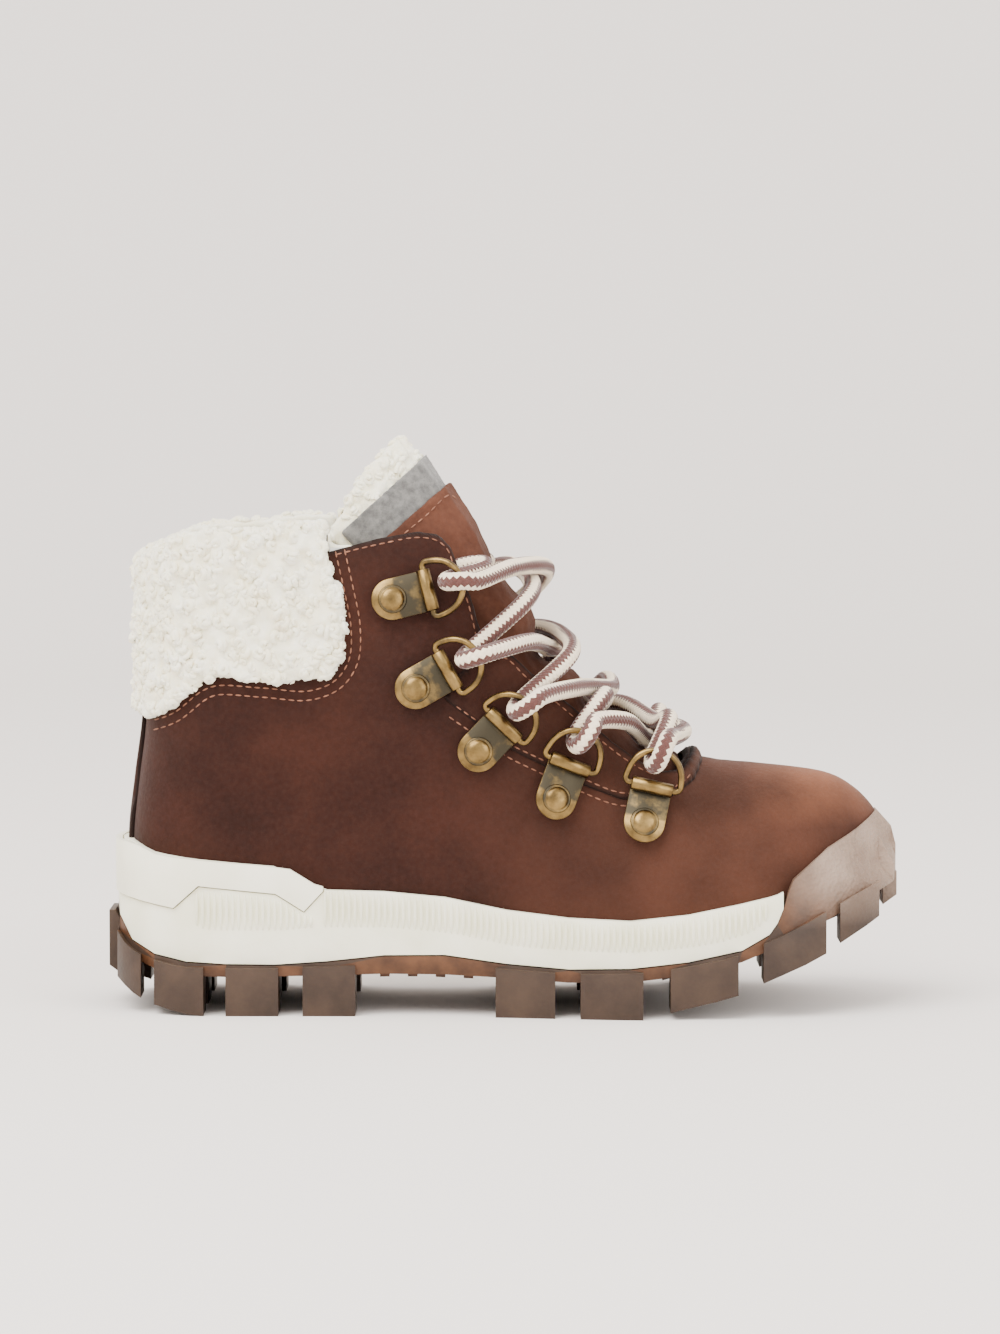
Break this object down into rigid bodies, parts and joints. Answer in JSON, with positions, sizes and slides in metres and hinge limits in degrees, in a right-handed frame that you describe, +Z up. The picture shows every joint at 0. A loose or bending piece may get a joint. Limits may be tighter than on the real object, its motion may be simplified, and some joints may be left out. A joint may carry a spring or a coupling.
{
  "type": "insulated lace-up hiking boot",
  "caption": "Low lace-up boot with a pile cuff and lining, hinged metal lace rings, padded tongue, foam midsole and lugged rubber outsole",
  "frame": {"origin": "centre of the bounding box seen from above, on the ground under the lugs", "axes": "+X towards the toe, -Y towards the outer side of the foot, +Z up"},
  "size_m": [0.2, 0.0833, 0.1438],
  "materials": {
    "aglet": "smooth",
    "antique_brass": "antiqued, worn bright on edges",
    "board": "fibre board",
    "felt": "wool felt",
    "foam": "soft foam",
    "foam_midsole": "moulded foam, matt",
    "gum_rubber": "moulded, fine grain on the toe",
    "lace": "round braid in two colours",
    "moulded_overlay": "smooth, matt",
    "nubuck": "nubuck",
    "pile": "curly pile",
    "steel": "plain",
    "tongue_leather": "nubuck, lighter",
    "wadding": "synthetic wadding"
  },
  "bodies": {
    "boot": {"aglet_lateral": "aglet", "aglet_medial": "aglet", "backstay": "nubuck", "collar_cuff": "pile", "collar_foam": "foam", "footbed": "foam", "footbed_cover": "pile", "gusset_lateral": "tongue_leather", "gusset_medial": "tongue_leather", "heel_counter": "board", "heel_stabiliser": "moulded_overlay", "hook_plate_lateral_1": "antique_brass", "hook_plate_lateral_2": "antique_brass", "hook_plate_lateral_3": "antique_brass", "hook_plate_lateral_4": "antique_brass", "hook_plate_lateral_5": "antique_brass", "hook_plate_medial_1": "antique_brass", "hook_plate_medial_2": "antique_brass", "hook_plate_medial_3": "antique_brass", "hook_plate_medial_4": "antique_brass", "hook_plate_medial_5": "antique_brass", "insole_board": "board", "insulation_lateral": "wadding", "insulation_medial": "wadding", "lace": "lace", "leather_upper": "nubuck", "lining": "pile", "midsole": "foam_midsole", "outsole": "gum_rubber", "rivet_lateral_1": "antique_brass", "rivet_lateral_2": "antique_brass", "rivet_lateral_3": "antique_brass", "rivet_lateral_4": "antique_brass", "rivet_lateral_5": "antique_brass", "rivet_medial_1": "antique_brass", "rivet_medial_2": "antique_brass", "rivet_medial_3": "antique_brass", "rivet_medial_4": "antique_brass", "rivet_medial_5": "antique_brass", "shank": "steel", "throat_facing": "nubuck", "toe_puff": "board"},
    "tongue": {"tongue_leather": "tongue_leather", "tongue_felt": "felt", "tongue_pile": "pile"},
    "d_ring_lateral_1": {"d_ring_lateral_1": "antique_brass"},
    "d_ring_lateral_2": {"d_ring_lateral_2": "antique_brass"},
    "d_ring_lateral_3": {"d_ring_lateral_3": "antique_brass"},
    "d_ring_lateral_4": {"d_ring_lateral_4": "antique_brass"},
    "d_ring_lateral_5": {"d_ring_lateral_5": "antique_brass"},
    "d_ring_medial_1": {"d_ring_medial_1": "antique_brass"},
    "d_ring_medial_2": {"d_ring_medial_2": "antique_brass"},
    "d_ring_medial_3": {"d_ring_medial_3": "antique_brass"},
    "d_ring_medial_4": {"d_ring_medial_4": "antique_brass"},
    "d_ring_medial_5": {"d_ring_medial_5": "antique_brass"}
  },
  "joints": [
    {"name": "tongue_flex", "type": "hinge", "parent": "boot", "child": "tongue", "pos_m": [0.047, 0, 0.06], "axis": [0, 1, 0], "range_deg": [-6, 0], "stiffness_Nm_per_rad": 1, "deforming": ["gusset_lateral", "gusset_medial", "lace"]},
    {"name": "d_ring_lateral_1_rock", "type": "hinge", "parent": "boot", "child": "d_ring_lateral_1", "pos_m": [-0.01881, -0.03189, 0.10633], "axis": [0.2499, -0.1181, -0.961], "range_deg": [-10, 12], "deforming": ["lace"]},
    {"name": "d_ring_lateral_2_rock", "type": "hinge", "parent": "boot", "child": "d_ring_lateral_2", "pos_m": [-0.01392, -0.03412, 0.08656], "axis": [0.4958, -0.0228, -0.8681], "range_deg": [-10, 12], "deforming": ["lace"]},
    {"name": "d_ring_lateral_3_rock", "type": "hinge", "parent": "boot", "child": "d_ring_lateral_3", "pos_m": [0.00001, -0.03382, 0.07281], "axis": [0.7214, 0.0313, -0.6918], "range_deg": [-10, 12], "deforming": ["lace"]},
    {"name": "d_ring_lateral_4_rock", "type": "hinge", "parent": "boot", "child": "d_ring_lateral_4", "pos_m": [0.01641, -0.03177, 0.06287], "axis": [0.9124, 0.1507, -0.3804], "range_deg": [-10, 12], "deforming": ["lace"]},
    {"name": "d_ring_lateral_5_rock", "type": "hinge", "parent": "boot", "child": "d_ring_lateral_5", "pos_m": [0.03688, -0.03135, 0.05732], "axis": [0.9723, 0.0397, -0.2304], "range_deg": [-10, 12], "deforming": ["lace"]},
    {"name": "d_ring_medial_1_rock", "type": "hinge", "parent": "boot", "child": "d_ring_medial_1", "pos_m": [-0.01864, 0.02778, 0.10632], "axis": [-0.2544, -0.0954, 0.9624], "range_deg": [-10, 12], "deforming": ["lace"]},
    {"name": "d_ring_medial_2_rock", "type": "hinge", "parent": "boot", "child": "d_ring_medial_2", "pos_m": [-0.0138, 0.02978, 0.08656], "axis": [-0.4933, 0.004, 0.8699], "range_deg": [-10, 12], "deforming": ["lace"]},
    {"name": "d_ring_medial_3_rock", "type": "hinge", "parent": "boot", "child": "d_ring_medial_3", "pos_m": [0.00017, 0.02842, 0.07281], "axis": [-0.7144, 0.0862, 0.6944], "range_deg": [-10, 12], "deforming": ["lace"]},
    {"name": "d_ring_medial_4_rock", "type": "hinge", "parent": "boot", "child": "d_ring_medial_4", "pos_m": [0.01634, 0.02621, 0.06289], "axis": [-0.9189, 0.1248, 0.3741], "range_deg": [-10, 12], "deforming": ["lace"]},
    {"name": "d_ring_medial_5_rock", "type": "hinge", "parent": "boot", "child": "d_ring_medial_5", "pos_m": [0.0364, 0.02829, 0.05734], "axis": [-0.9757, -0.1565, 0.1536], "range_deg": [-10, 12], "deforming": ["lace"]}
  ]
}
